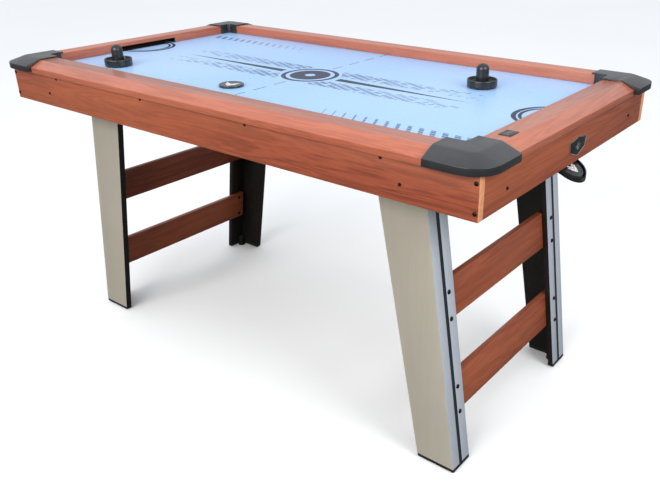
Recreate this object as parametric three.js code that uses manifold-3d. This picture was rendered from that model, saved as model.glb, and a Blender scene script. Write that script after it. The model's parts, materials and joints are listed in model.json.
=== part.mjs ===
// Air hockey table: a wood-look cabinet on four splayed legs, with a blown playing field,
// two pushers, two pucks, a goal slot and a puck cup at each end, and a fan under the middle.
// Millimetres, +X along the table, +Y to the far side, +Z up. The origin is on the floor,
// under the middle of the table.
import * as THREE from 'three';
import { mergeVertices } from 'three/addons/utils/BufferGeometryUtils.js';
import Module from 'manifold-3d';

const wasm = await Module();
wasm.setup();

// ---- driving dimensions ----
const gap = 0.3;                 // clearance kept between pieces that touch
const tableLength = 1524;        // over the end aprons
const tableWidth = 828;          // over the side aprons
const apronThickness = 18;
const apronBottom = 704;
const fieldTop = 793;
const fieldThickness = 9;

const railTop = 819;
const railEdgeTop = 803;         // top of the rail's upright outer edge
const railLipBottom = 788;
const railOverhang = 7.6;        // rail edge outside the apron
const railChamferEnd = 21.8;     // where the outer slope meets the flat top, in from the apron face
const railInner = 70;            // rail's inner face, in from the apron face

const goalWidth = 210;
const goalHeight = 15;
const goalDepthStart = 20;       // closed part of the end rail behind the slot
const goalDrop = 50;             // length of the notch the puck falls through

const capTop = 823;
const capRimTop = 808;           // where the roof meets the upright rim
const capOverhang = 22;          // cap edge outside the apron
const capArm = 131;              // arm length along the cap's outer faces
const capArmInside = 138;        // and along the field
const capCornerRadius = 60;
const capSkirtBottom = 793;
const capLinerArm = 38;
const capLinerThickness = 3;
const capLinerCorner = 9;        // radius of the field's corner inside the liner
const capArmBow = 3;             // how far the arm's end curves outwards

const chamberFloorBottom = 745;
const chamberFloorThickness = 6;
const chamberHalfLength = 682;
const chamberEndThickness = 12;
const chamberInletRadius = 78;   // hole over the fan

const legBottom = 4;
const legShoeTop = 12;
const legTop = chamberFloorBottom - gap;
const legOuterAtFloor = 680.5;   // outer face of a leg at legBottom
const legOuterAtApron = 577.5;   // and level with the apron's lower edge
const legWidthAtFloor = 101.4;
const legWidthAtApron = 126.6;
const legFaceY = 306;            // outer side of a leg board from the table's middle
const legBoardThickness = 18;
const flangeWidth = 72;
const flangeThickness = 15;
const grooveWidth = 12;
const grooveDepth = 2;
const grooveFromFace = 29;
const footX = 652;
const footY = 275.5;
const footRadius = 11.5;
const footHeight = 8;
const footStemRadius = 4;
const footBlockTop = 36;
const footBlockMargin = 8.5;       // block past the foot's middle

const stretcherThickness = 15;
const stretcherHeights = { upper: [366, 462], lower: [131, 227] };
const stretcherHalfLength = 276;
const beamBottom = 706;          // beam between the leg tops
const beamThickness = 18;

const pusherRadius = 38;
const padRadius = 35;
const padThickness = 1.3;
const puckRadius = 31.5;
const puckThickness = 6;
const puckSpot = { x: -75, y: -214 };
const pusherSpots = { left: { x: -521, y: -232 }, right: { x: 439, y: 153 } };

const cupTilt = THREE.MathUtils.degToRad(28);
const cupCentreX = 753;
const cupFloorZ = 688;           // tray floor below the puck's middle
const cupRadius = 41;
const cupWall = 3.5;
const cupLipHeight = 9;
const cupNotchWidth = 24;
const chuteWideEnd = 702;        // the chute keeps the goal's full width up to here
const chuteNarrowEnd = 743.4;    // and has narrowed to the cup's width here

const fanRadius = 88;
const fanBottom = 664;
const fanWall = 3;
const fanFlangeRadius = 102;
const fanInletRadius = 50;
const impellerRadius = 74;
const motorRadius = 28;
const shaftRadius = 4;

const halfLength = tableLength / 2;
const halfWidth = tableWidth / 2;
const ends = [['left', -1], ['right', 1]];
const sides = [['front', -1], ['back', 1]];

// ---- colours and finishes ----
const finish = (color, roughness, metalness = 0) =>
  new THREE.MeshStandardMaterial({ color, roughness, metalness });
const finishes = {
  cherry: () => finish(0xa55c43, 0.45),
  cherryTop: () => finish(0xd18a78, 0.35),
  cap: () => finish(0x3b3d42, 0.5),
  field: () => finish(0xbddbff, 0.15),
  innerBoard: () => finish(0xc8b48c, 0.8),
  black: () => finish(0x1a1a1c, 0.5),
  legFace: () => finish(0xb2a693, 0.4),
  legEdge: () => finish(0xb6bbc4, 0.35, 0.2),
  darkGrey: () => finish(0x303338, 0.55),
  steel: () => finish(0x9aa0a8, 0.35, 0.9),
  felt: () => finish(0x20242a, 0.95),
};

const group = new THREE.Group();

function add(name, geometry, material, place = {}) {
  const mesh = new THREE.Mesh(geometry, material);
  mesh.name = name;
  if (place.position) mesh.position.set(...place.position);
  if (place.rotation) mesh.rotation.set(...place.rotation);
  group.add(mesh);
  return mesh;
}

// ---- solids ----
function toSolid(geometry) {
  const bare = geometry.index ? geometry.toNonIndexed() : geometry.clone();
  bare.deleteAttribute('normal');
  bare.deleteAttribute('uv');
  const merged = mergeVertices(bare, 1e-4);
  return new wasm.Manifold(new wasm.Mesh({
    numProp: 3,
    vertProperties: new Float32Array(merged.attributes.position.array),
    triVerts: new Uint32Array(merged.index.array),
  }));
}

function toGeometry(solid) {
  const mesh = solid.getMesh();
  const geometry = new THREE.BufferGeometry();
  geometry.setAttribute('position', new THREE.BufferAttribute(new Float32Array(mesh.vertProperties), 3));
  geometry.setIndex(new THREE.BufferAttribute(new Uint32Array(mesh.triVerts), 1));
  return geometry;
}

// A box from its lowest to its highest corner.
function box(low, high) {
  const size = high.map((value, axis) => value - low[axis]);
  const middle = high.map((value, axis) => (value + low[axis]) / 2);
  return new THREE.BoxGeometry(...size).translate(...middle);
}

// A closed body between two outlines of the same number of points, [x, y] each.
function loft(lowOutline, lowZ, highOutline, highZ) {
  const contour = lowOutline.map(([x, y]) => new THREE.Vector2(x, y));
  const turned = THREE.ShapeUtils.area(contour) < 0;
  const low = turned ? [...lowOutline].reverse() : lowOutline;
  const high = turned ? [...highOutline].reverse() : highOutline;
  const count = low.length;
  const faces = THREE.ShapeUtils.triangulateShape(low.map(([x, y]) => new THREE.Vector2(x, y)), []);
  const index = [];
  for (const [a, b, c] of faces) index.push(a, c, b, a + count, b + count, c + count);
  for (let i = 0; i < count; i += 1) {
    const j = (i + 1) % count;
    index.push(i, j, j + count, i, j + count, i + count);
  }
  const points = [...low.map(([x, y]) => [x, y, lowZ]), ...high.map(([x, y]) => [x, y, highZ])];
  const geometry = new THREE.BufferGeometry();
  geometry.setAttribute('position', new THREE.Float32BufferAttribute(points.flat(), 3));
  geometry.setIndex(index);
  return geometry;
}

const column = (outline, lowZ, highZ) => loft(outline, lowZ, outline, highZ);

// A straight length of a moulding with mitred ends, along X, its section given as
// [distance in from the apron face, height]. The face looks to -Y.
function mitredRail(section, faceX, faceY) {
  const start = section.map(([inward, z]) => [-faceX + inward + gap / 2, z, inward]);
  const stop = section.map(([inward, z]) => [faceX - inward - gap / 2, z, inward]);
  const count = section.length;
  const faces = THREE.ShapeUtils.triangulateShape(section.map(([u, z]) => new THREE.Vector2(u, z)), []);
  const points = [...start, ...stop].map(([x, z, inward]) => [x, -faceY + inward, z]);
  const index = [];
  for (const [a, b, c] of faces) index.push(a, c, b, a + count, b + count, c + count);
  for (let i = 0; i < count; i += 1) {
    const j = (i + 1) % count;
    index.push(i, j, j + count, i, j + count, i + count);
  }
  const geometry = new THREE.BufferGeometry();
  geometry.setAttribute('position', new THREE.Float32BufferAttribute(points.flat(), 3));
  geometry.setIndex(index);
  return geometry;
}

function lathe(profile, segments = 32) {
  const points = profile.map(([radius, z]) => new THREE.Vector2(radius, z));
  return new THREE.LatheGeometry(points, segments).rotateX(Math.PI / 2);
}

// ---- cabinet: aprons ----
const switchX = -575;
const jackX = -536;
const powerZ = 725;
const switchHole = { width: 24.6, height: 17.6 };
const jackHoleRadius = 7;

function buildAprons() {
  const inner = halfWidth - apronThickness;
  add('apron_front', box([-halfLength, -halfWidth, apronBottom], [halfLength, -inner, fieldTop]),
    finishes.cherry());
  const plain = toSolid(box([-halfLength, inner, apronBottom], [halfLength, halfWidth, fieldTop]));
  const window = toSolid(box(
    [switchX - switchHole.width / 2, inner - 1, powerZ - switchHole.height / 2],
    [switchX + switchHole.width / 2, halfWidth + 1, powerZ + switchHole.height / 2],
  ));
  const drilled = toSolid(new THREE.CylinderGeometry(jackHoleRadius, jackHoleRadius, apronThickness + 2, 24)
    .translate(jackX, inner + apronThickness / 2, powerZ));
  add('apron_back', toGeometry(plain.subtract(window).subtract(drilled)), finishes.cherry());
  for (const [name, sign] of ends) {
    const faces = [sign * (halfLength - apronThickness), sign * halfLength].sort((a, b) => a - b);
    add(`apron_${name}`, box([faces[0], -inner + gap, apronBottom], [faces[1], inner - gap, fieldTop]),
      finishes.cherry());
  }
}

// ---- cabinet: top rails ----
const railSection = [
  [-railOverhang, railLipBottom],
  [-gap, railLipBottom],
  [-gap, fieldTop + gap],
  [railInner, fieldTop + gap],
  [railInner, railTop],
  [railChamferEnd, railTop],
  [-railOverhang, railEdgeTop],
];

// A solid with rounded corners, from rings at [how far outside the apron faces, height]. All
// its rings share the corner centres of the caps, so the rails and the caps curve alike.
function roundedStack(rings) {
  const steps = 8;
  const count = 4 * (steps + 1);
  const centreIn = capCornerRadius - capOverhang;
  const points = [];
  for (const [outward, z] of rings) {
    [[1, 1], [-1, 1], [-1, -1], [1, -1]].forEach(([signX, signY], quarter) => {
      for (let step = 0; step <= steps; step += 1) {
        const angle = (quarter + step / steps) * Math.PI / 2;
        points.push(signX * (halfLength - centreIn) + (centreIn + outward) * Math.cos(angle));
        points.push(signY * (halfWidth - centreIn) + (centreIn + outward) * Math.sin(angle), z);
      }
    });
  }
  const index = [];
  for (let ring = 0; ring + 1 < rings.length; ring += 1) {
    for (let i = 0; i < count; i += 1) {
      const a = ring * count + i;
      const b = ring * count + (i + 1) % count;
      index.push(a, b, b + count, a, b + count, a + count);
    }
  }
  const top = (rings.length - 1) * count;
  for (let i = 1; i + 1 < count; i += 1) index.push(0, i + 1, i, top, top + i, top + i + 1);
  const geometry = new THREE.BufferGeometry();
  geometry.setAttribute('position', new THREE.Float32BufferAttribute(points, 3));
  geometry.setIndex(index);
  return toSolid(geometry);
}

const roundedSlab = (outward) => roundedStack([[outward, 600], [outward, 900]]);

function buildRails() {
  const slab = roundedSlab(railOverhang);
  const long = toGeometry(toSolid(mitredRail(railSection, halfLength, halfWidth)).intersect(slab));
  add('rail_front', long, finishes.cherryTop());
  add('rail_back', long, finishes.cherryTop(), { rotation: [0, 0, Math.PI] });
  const short = toSolid(mitredRail(railSection, halfWidth, halfLength));
  const slot = toSolid(box(
    [-goalWidth / 2, -halfLength + goalDepthStart, fieldTop - 1],
    [goalWidth / 2, -halfLength + railInner + 1, fieldTop + goalHeight],
  ));
  const turnedSlab = slab.rotate([0, 0, 90]);
  const goalRail = toGeometry(short.subtract(slot).intersect(turnedSlab));
  add('rail_left', goalRail, finishes.cherryTop(), { rotation: [0, 0, -Math.PI / 2] });
  add('rail_right', goalRail, finishes.cherryTop(), { rotation: [0, 0, Math.PI / 2] });
}

// ---- corner caps ----
// One cap is made for the corner at +X +Y. Its roof follows the rails' flat tops and outer
// slopes, its skirt hangs over their edges and its liner stands in the field's corner.
function railRoof(clearance) {
  const reach = 400;
  const far = railInner + reach;
  const edge = -railOverhang - clearance;
  const topZ = railTop + clearance;
  const edgeZ = railEdgeTop + clearance;
  const section = [[edge, 600], [edge, edgeZ], [railChamferEnd, topZ], [far, topZ], [far, 600]];
  const run = (faceDistance) => {
    const shape = new THREE.Shape(section.map(([inward, z]) => new THREE.Vector2(faceDistance - inward, z)));
    return new THREE.ExtrudeGeometry(shape, { depth: 2 * reach, bevelEnabled: false });
  };
  const alongY = run(halfLength).rotateX(Math.PI / 2).translate(0, halfWidth + reach / 2, 0);
  const alongX = run(halfWidth).rotateX(Math.PI / 2).rotateZ(Math.PI / 2)
    .translate(halfLength - 1.5 * reach, 0, 0);
  return toSolid(alongY).intersect(toSolid(alongX));
}

function capRoof() {  // one smooth sheet around the corner, carried a little past the rim
  const past = 8;
  const slope = (capTop - capRimTop) / (capOverhang + railChamferEnd);
  const edge = capOverhang + past;
  return roundedStack([[edge, 600], [edge, capRimTop - past * slope], [-railChamferEnd, capTop]]);
}

function capOutline() {
  const outerX = halfLength + capOverhang;
  const outerY = halfWidth + capOverhang;
  const innerX = halfLength - railInner - gap - capLinerThickness;
  const innerY = halfWidth - railInner - gap - capLinerThickness;
  const outline = new THREE.Shape();
  outline.moveTo(outerX - capArm, outerY);
  outline.lineTo(outerX - capCornerRadius, outerY);
  outline.absarc(outerX - capCornerRadius, outerY - capCornerRadius, capCornerRadius, Math.PI / 2, 0, true);
  outline.lineTo(outerX, outerY - capArm);
  const endY = outerY - (capArm + capArmInside) / 2 - capArmBow;
  outline.quadraticCurveTo((outerX + innerX) / 2, endY, innerX, outerY - capArmInside);
  const corner = capLinerCorner;
  outline.lineTo(innerX, innerY - corner);
  outline.absarc(innerX - corner, innerY - corner, corner, 0, Math.PI / 2, false);
  outline.lineTo(outerX - capArmInside, innerY);
  const endX = outerX - (capArm + capArmInside) / 2 - capArmBow;
  outline.quadraticCurveTo(endX, (outerY + innerY) / 2, outerX - capArm, outerY);
  return outline;
}

function buildCaps() {
  const linerX = halfLength - railInner - gap;
  const linerY = halfWidth - railInner - gap;
  const blank = toSolid(new THREE.ExtrudeGeometry(capOutline(), {
    depth: 60, bevelEnabled: false, curveSegments: 8,
  }).translate(0, 0, capSkirtBottom));
  const endRail = toSolid(box([linerX, -halfWidth, 600], [halfLength + 50, halfWidth + 50, 900]));
  const sideRail = toSolid(box([-halfLength, linerY, 600], [halfLength + 50, halfWidth + 50, 900]));
  const rails = railRoof(gap).intersect(endRail.add(sideRail)).intersect(roundedSlab(railOverhang + gap));
  const cap = blank.intersect(capRoof()).subtract(rails)
    .subtract(toSolid(box([0, 0, 600], [linerX - capLinerArm, linerY, railTop + gap])))
    .subtract(toSolid(box([0, 0, 600], [linerX, linerY - capLinerArm, railTop + gap])))
    .subtract(toSolid(box([0, 0, 600], [linerX, linerY, fieldTop + gap])));
  const shape = toGeometry(cap);
  const mirrored = toGeometry(cap.mirror([1, 0, 0]));
  add('corner_cap_back_right', shape, finishes.cap());
  add('corner_cap_front_left', shape, finishes.cap(), { rotation: [0, 0, Math.PI] });
  add('corner_cap_back_left', mirrored, finishes.cap());
  add('corner_cap_front_right', mirrored, finishes.cap(), { rotation: [0, 0, Math.PI] });
}

// ---- field and air chamber ----
function buildField() {
  const x = halfLength - apronThickness - gap;
  const y = halfWidth - apronThickness - gap;
  let board = toSolid(box([-x, -y, fieldTop - fieldThickness], [x, y, fieldTop]));
  for (const [, sign] of ends) {
    const notch = [sign * (halfLength - apronThickness - goalDrop), sign * (x + 1)].sort((a, b) => a - b);
    board = board.subtract(toSolid(box([notch[0], -goalWidth / 2, 700], [notch[1], goalWidth / 2, 800])));
  }
  add('playfield', toGeometry(board), finishes.field());

  const hole = toSolid(new THREE.CylinderGeometry(chamberInletRadius, chamberInletRadius, 20, 40)
    .rotateX(Math.PI / 2).translate(0, 0, chamberFloorBottom));
  const floor = toSolid(box([-chamberHalfLength, -y, chamberFloorBottom],
    [chamberHalfLength, y, chamberFloorBottom + chamberFloorThickness]));
  add('air_chamber_floor', toGeometry(floor.subtract(hole)), finishes.innerBoard());
  for (const [name, sign] of ends) {
    const faces = [sign * (chamberHalfLength - chamberEndThickness), sign * chamberHalfLength]
      .sort((a, b) => a - b);
    add(`air_chamber_end_${name}`, box(
      [faces[0], -y, chamberFloorBottom + chamberFloorThickness + gap],
      [faces[1], y, fieldTop - fieldThickness - gap],
    ), finishes.innerBoard());
  }
}

// ---- fan under the air chamber ----
function buildFan() {
  const top = chamberFloorBottom - gap;
  add('fan_housing', lathe([
    [fanInletRadius, fanBottom], [fanRadius, fanBottom], [fanRadius, top - fanWall],
    [fanFlangeRadius, top - fanWall], [fanFlangeRadius, top], [fanRadius - fanWall, top],
    [fanRadius - fanWall, fanBottom + fanWall], [fanInletRadius, fanBottom + fanWall],
    [fanInletRadius, fanBottom],
  ], 40), finishes.darkGrey());

  // Inlet grille: rings and spokes in one moulding, screwed under the housing.
  const grilleTop = fanBottom - gap;
  const ring = (inner, outer) => toSolid(lathe([
    [inner, grilleTop - 3], [outer, grilleTop - 3], [outer, grilleTop], [inner, grilleTop],
    [inner, grilleTop - 3],
  ], 32));
  let grille = ring(50, 60).add(ring(34, 38)).add(ring(18, 22));
  for (let i = 0; i < 4; i += 1) {
    const spoke = box([-55, -1.5, grilleTop - 3], [55, 1.5, grilleTop]).rotateZ(i * Math.PI / 4);
    grille = grille.add(toSolid(spoke));
  }
  add('fan_grille', toGeometry(grille), finishes.black());

  // Impeller: back plate, blades, front ring, hub and the shaft that stands up into the motor.
  const bladeLow = fanBottom + 8;
  const bladeHigh = bladeLow + 24;
  const bladeCount = 16;
  let impeller = toSolid(lathe([
    [0, bladeHigh - 10], [10, bladeHigh - 10], [12, bladeHigh], [impellerRadius, bladeHigh],
    [impellerRadius, bladeHigh + 3], [12, bladeHigh + 3], [shaftRadius, bladeHigh + 7],
    [shaftRadius, bladeHigh + 20], [0, bladeHigh + 20],
  ], 32));
  impeller = impeller.add(toSolid(lathe([
    [54, bladeLow], [impellerRadius, bladeLow], [impellerRadius, bladeLow + 2], [54, bladeLow + 2],
    [54, bladeLow],
  ], 32)));
  for (let i = 0; i < bladeCount; i += 1) {
    const blade = box([-8, -1, bladeLow + 1], [8, 1, bladeHigh + 1]).rotateZ(0.6)
      .translate(64, 0, 0).rotateZ((i * 2 * Math.PI) / bladeCount);
    impeller = impeller.add(toSolid(blade));
  }
  add('fan_impeller', toGeometry(impeller), finishes.darkGrey());

  const motorLow = bladeHigh + 9;
  const motorHigh = top - 7;
  const bore = shaftRadius + gap;
  add('fan_motor', lathe([
    [bore, motorLow], [10, motorLow], [10, motorLow + 2], [motorRadius - 2, motorLow + 2],
    [motorRadius, motorLow + 4], [motorRadius, motorHigh - 2], [motorRadius - 2, motorHigh],
    [0, motorHigh], [0, motorLow + 14], [bore, motorLow + 14], [bore, motorLow],
  ], 32), finishes.steel());
  const reach = fanRadius - fanWall - 3;
  add('fan_motor_bracket', box([-reach, -15, motorHigh + gap], [reach, 15, motorHigh + gap + 3]),
    finishes.steel());
}

// ---- power inlet and switch in the far apron ----
const switchDepth = 18;
function buildPower() {
  const face = halfWidth + gap;
  const plateThickness = 2.5;
  const middleX = (switchX + jackX) / 2;
  const plate = toSolid(box([middleX - 38, face, powerZ - 14],
    [middleX + 38, face + plateThickness, powerZ + 14]));
  const wall = 1.5;
  const w = switchHole.width / 2 - gap;
  const h = switchHole.height / 2 - gap;
  const well = toSolid(box([switchX - w, face - switchDepth, powerZ - h],
    [switchX + w, face + 0.5, powerZ + h]));
  const cavity = toSolid(box([switchX - w + wall, face - switchDepth + wall, powerZ - h + wall],
    [switchX + w - wall, face + plateThickness + 1, powerZ + h - wall]));
  const jackHole = toSolid(new THREE.CylinderGeometry(5.8, 5.8, 20, 24).translate(jackX, face, powerZ));
  add('power_plate', toGeometry(plate.add(well).subtract(cavity).subtract(jackHole)), finishes.black());

  // A rocker that turns on its middle, its two halves standing a little proud of the plate.
  const rw = w - wall - gap;
  const rh = h - wall - gap;
  const rocker = new THREE.Shape([[-rw + 1, -7], [rw - 1, -7], [rw - 0.6, 1.2], [0, -0.4], [-rw + 0.6, 1.2]]
    .map(([x, y]) => new THREE.Vector2(x, y)));
  add('power_switch', new THREE.ExtrudeGeometry(rocker, { depth: 2 * rh, bevelEnabled: false })
    .translate(0, 0, -rh), finishes.black(), { position: [switchX, face + plateThickness, powerZ] });

  // Round low-voltage socket with its centre pin.
  add('power_jack', lathe([
    [0, -10], [5.5, -10], [5.5, 3.2], [3.2, 3.2], [3.2, -7], [1, -7], [1, 2], [0, 2],
  ], 24).rotateX(-Math.PI / 2), finishes.darkGrey(),
  { position: [jackX, face + plateThickness - 2, powerZ] });
}

// ---- goal cups ----
// A funnel under each goal slot whose sloping floor runs out under the apron to a round lip.
function buildCups() {
  const cos = Math.cos(cupTilt);
  const outline = (wall) => {
    const radius = cupRadius - wall;
    const back = chamberHalfLength + gap + wall;
    const wide = goalWidth / 2 + cupWall + 2 - wall;
    const bend = chuteWideEnd - 0.6 * wall;
    const neck = chuteNarrowEnd - wall;
    const points = [[back, -wide], [bend, -wide], [neck, -radius - 3]];
    const steps = 16;
    for (let i = 0; i <= steps; i += 1) {
      const angle = -Math.PI / 2 + (i * Math.PI) / steps;
      points.push([cupCentreX + radius * cos * Math.cos(angle), radius * Math.sin(angle)]);
    }
    points.push([neck, radius + 3], [bend, wide], [back, wide]);
    return points;
  };
  // A tilted block whose lower face lies `offset` above the tray floor.
  const above = (offset, startX = -200) => toSolid(box([startX, -200, offset], [200, 200, offset + 200])
    .rotateY(cupTilt).translate(cupCentreX, 0, cupFloorZ));
  const chuteTop = fieldTop - fieldThickness - gap;
  let cup = toSolid(column(outline(0), 620, chuteTop)).intersect(above(-cupWall));
  cup = cup.subtract(toSolid(column(outline(cupWall), 600, 900)).intersect(above(0)));
  cup = cup.subtract(toSolid(box([halfLength - apronThickness - gap, -200, apronBottom - gap],
    [900, 200, 900])));
  cup = cup.subtract(above(cupLipHeight, -13));
  cup = cup.subtract(above(0, 20).intersect(toSolid(box([760, -cupNotchWidth / 2, 600],
    [900, cupNotchWidth / 2, 800]))));
  const shape = toGeometry(cup);
  add('goal_cup_right', shape, finishes.black());
  add('goal_cup_left', shape, finishes.black(), { rotation: [0, 0, Math.PI] });
}

// ---- legs ----
const legOuter = (z) => legOuterAtFloor
  + ((legOuterAtApron - legOuterAtFloor) * (z - legBottom)) / (apronBottom - legBottom);
const legInner = (z) => (legOuterAtFloor - legWidthAtFloor)
  + ((legOuterAtApron - legWidthAtApron - legOuterAtFloor + legWidthAtFloor) * (z - legBottom))
  / (apronBottom - legBottom);
const legLean = Math.atan((legOuterAtFloor - legOuterAtApron) / (apronBottom - legBottom));
const flangeDepth = flangeThickness / Math.cos(legLean);
const flangeBack = (z) => legOuter(z) - flangeDepth - gap;

function buildLeg(name, signX, signY) {
  const place = (points) => points.map(([x, y]) => [signX * x, signY * y]);
  const boardInner = legFaceY - legBoardThickness;
  const board = (z) => place([
    [legInner(z), boardInner], [flangeBack(z), boardInner],
    [flangeBack(z), legFaceY], [legInner(z), legFaceY],
  ]);
  const flange = (z) => {
    const outer = legOuter(z);
    const grooveStart = legFaceY - grooveFromFace;
    return place([
      [outer - flangeDepth, legFaceY], [outer, legFaceY], [outer, grooveStart],
      [outer - grooveDepth, grooveStart], [outer - grooveDepth, grooveStart - grooveWidth],
      [outer, grooveStart - grooveWidth], [outer, legFaceY - flangeWidth],
      [outer - flangeDepth, legFaceY - flangeWidth],
    ]);
  };
  const shoe = (z) => {
    const outer = legOuter(z);
    return place([
      [legInner(z), legFaceY], [outer, legFaceY], [outer, legFaceY - flangeWidth],
      [outer - flangeDepth - 1, legFaceY - flangeWidth], [outer - flangeDepth - 1, boardInner - 1],
      [legInner(z), boardInner - 1],
    ]);
  };
  const low = legShoeTop + gap;
  add(`leg_board_${name}`, loft(board(low), low, board(legTop), legTop), finishes.legFace());
  add(`leg_flange_${name}`, loft(flange(low), low, flange(legTop), legTop), finishes.legEdge());
  add(`leg_shoe_${name}`, loft(shoe(legBottom), legBottom, shoe(legShoeTop), legShoeTop), finishes.black());

  const block = (z) => place([
    [footX - footBlockMargin, footY - footBlockMargin], [flangeBack(z), footY - footBlockMargin],
    [flangeBack(z), boardInner - gap], [footX - footBlockMargin, boardInner - gap],
  ]);
  const solid = toSolid(loft(block(low), low, block(footBlockTop), footBlockTop));
  const bore = toSolid(new THREE.CylinderGeometry(footStemRadius + gap, footStemRadius + gap, 80, 20)
    .rotateX(Math.PI / 2).translate(signX * footX, signY * footY, 40));
  add(`leg_block_${name}`, toGeometry(solid.subtract(bore)), finishes.black());
  add(`leg_foot_${name}`, lathe([
    [0, 0], [footRadius - 1.5, 0], [footRadius, 1.5], [footRadius, footHeight - 2],
    [footRadius - 3, footHeight], [footStemRadius, footHeight], [footStemRadius, footBlockTop - 8],
    [0, footBlockTop - 8],
  ], 24), finishes.black(), { position: [signX * footX, signY * footY, 0] });
}

function buildLegs() {
  for (const [side, signY] of sides) {
    for (const [end, signX] of ends) buildLeg(`${side}_${end}`, signX, signY);
  }
  for (const [end, signX] of ends) {
    // Stretchers lie against the flanges' inner faces and lean with the legs.
    for (const [level, [low, high]] of Object.entries(stretcherHeights)) {
      const lean = (z) => [
        [signX * flangeBack(z), -stretcherHalfLength], [signX * flangeBack(z), stretcherHalfLength],
        [signX * (flangeBack(z) - stretcherThickness), stretcherHalfLength],
        [signX * (flangeBack(z) - stretcherThickness), -stretcherHalfLength],
      ];
      add(`stretcher_${level}_${end}`, loft(lean(low), low, lean(high), high), finishes.cherry());
    }
    // The beam under the air chamber joins the leg tops across the table.
    const beamY = legFaceY - legBoardThickness - gap;
    const beam = (z) => [
      [signX * flangeBack(z), -beamY], [signX * flangeBack(z), beamY],
      [signX * (flangeBack(z) - beamThickness), beamY], [signX * (flangeBack(z) - beamThickness), -beamY],
    ];
    add(`leg_beam_${end}`, loft(beam(beamBottom), beamBottom, beam(legTop), legTop), finishes.innerBoard());
  }
}

// ---- pushers and pucks ----
function buildPlay() {
  const padTop = gap + padThickness;
  const low = padTop + gap;
  const pusher = lathe([
    [0, low], [pusherRadius - 3, low], [pusherRadius - 0.5, low + 2.5], [pusherRadius, 12],
    [pusherRadius - 1, 19.5], [pusherRadius - 2.5, 21], [pusherRadius - 4, 19.5],
    [pusherRadius - 5.5, 9], [pusherRadius - 9, 6.5], [19.5, 7], [17, 9], [16, 12], [16, 44],
    [14.8, 49.6], [11.6, 54.6], [6.4, 57.8], [0, 59],
  ], 32);
  const pad = lathe([[0, gap], [padRadius, gap], [padRadius, padTop], [0, padTop]], 32);
  for (const [end, spot] of Object.entries(pusherSpots)) {
    const position = [spot.x, spot.y, fieldTop];
    add(`pusher_${end}`, pusher, finishes.black(), { position });
    add(`pusher_pad_${end}`, pad, finishes.felt(), { position });
  }
  const puck = lathe([
    [0, gap], [puckRadius - 0.9, gap], [puckRadius, gap + 0.9], [puckRadius, puckThickness - 0.9],
    [puckRadius - 0.9, puckThickness], [puckRadius - 5, puckThickness],
    [puckRadius - 5.6, puckThickness - 0.5], [0, puckThickness - 0.5],
  ], 40);
  add('puck', puck, finishes.black(), { position: [puckSpot.x, puckSpot.y, fieldTop] });
  add('puck_in_cup', puck, finishes.black(),
    { position: [cupCentreX, 0, cupFloorZ], rotation: [0, cupTilt, 0] });
}

// ---- badge and label ----
function buildBadges() {
  const shield = new THREE.Shape();
  shield.moveTo(-42, 16);
  shield.quadraticCurveTo(-16, 17, 0, 22);
  shield.quadraticCurveTo(16, 17, 42, 16);
  shield.lineTo(38, -8);
  shield.quadraticCurveTo(20, -14, 0, -22);
  shield.quadraticCurveTo(-20, -14, -38, -8);
  shield.closePath();
  add('apron_badge', new THREE.ExtrudeGeometry(shield, { depth: 2, bevelEnabled: false, curveSegments: 6 }),
    finishes.black(), { position: [halfLength + gap, 6, 739], rotation: [Math.PI / 2, Math.PI / 2, 0] });
  add('rail_label', box([709, -260, railTop + gap], [735, -224, railTop + gap + 1]), finishes.black());
}

buildAprons();
buildRails();
buildCaps();
buildField();
buildFan();
buildPower();
buildCups();
buildLegs();
buildPlay();
buildBadges();

export default group;
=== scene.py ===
# Looks of the air hockey table: cherry laminate cabinet and rails, charcoal corner caps,
# a glossy printed field, silver and beige legs, pushers, pucks, cups, screws and the blower.
import json
import math

import bmesh
import bpy
from mathutils import Matrix, Vector

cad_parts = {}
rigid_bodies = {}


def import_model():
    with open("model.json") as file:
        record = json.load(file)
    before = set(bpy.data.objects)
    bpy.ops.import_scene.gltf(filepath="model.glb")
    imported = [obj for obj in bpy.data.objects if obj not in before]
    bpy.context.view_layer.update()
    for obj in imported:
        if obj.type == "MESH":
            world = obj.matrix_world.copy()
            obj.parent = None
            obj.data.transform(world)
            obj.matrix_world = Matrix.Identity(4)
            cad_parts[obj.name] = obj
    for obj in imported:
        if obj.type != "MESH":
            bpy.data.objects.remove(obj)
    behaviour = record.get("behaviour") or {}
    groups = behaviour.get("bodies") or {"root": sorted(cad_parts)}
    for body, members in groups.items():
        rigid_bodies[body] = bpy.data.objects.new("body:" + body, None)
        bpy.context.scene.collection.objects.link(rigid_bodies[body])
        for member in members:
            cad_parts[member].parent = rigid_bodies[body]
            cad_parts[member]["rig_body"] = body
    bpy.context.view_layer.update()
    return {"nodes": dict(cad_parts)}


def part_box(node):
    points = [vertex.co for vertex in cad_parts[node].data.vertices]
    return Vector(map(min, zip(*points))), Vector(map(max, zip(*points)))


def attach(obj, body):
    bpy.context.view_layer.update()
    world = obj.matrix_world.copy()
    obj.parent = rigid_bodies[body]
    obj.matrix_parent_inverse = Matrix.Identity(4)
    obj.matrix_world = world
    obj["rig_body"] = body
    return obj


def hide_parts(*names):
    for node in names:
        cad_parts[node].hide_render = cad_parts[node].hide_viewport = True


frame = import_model()
mm = 0.001
ends = (("left", -1), ("right", 1))
sides = (("front", -1), ("back", 1))
print("frame loaded,", len(frame["nodes"]), "nodes")


# Node helpers: every material below is wired with these.
def tone(code):  # a hex colour as the shader's linear RGBA
    channels = [int(code[i:i + 2], 16) / 255 for i in (0, 2, 4)]
    return (*[c / 12.92 if c <= 0.04045 else ((c + 0.055) / 1.055) ** 2.4 for c in channels], 1.0)


def fill(tree, socket, value):
    if isinstance(value, bpy.types.NodeSocket):
        tree.links.new(value, socket)
    else:
        socket.default_value = value


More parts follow.
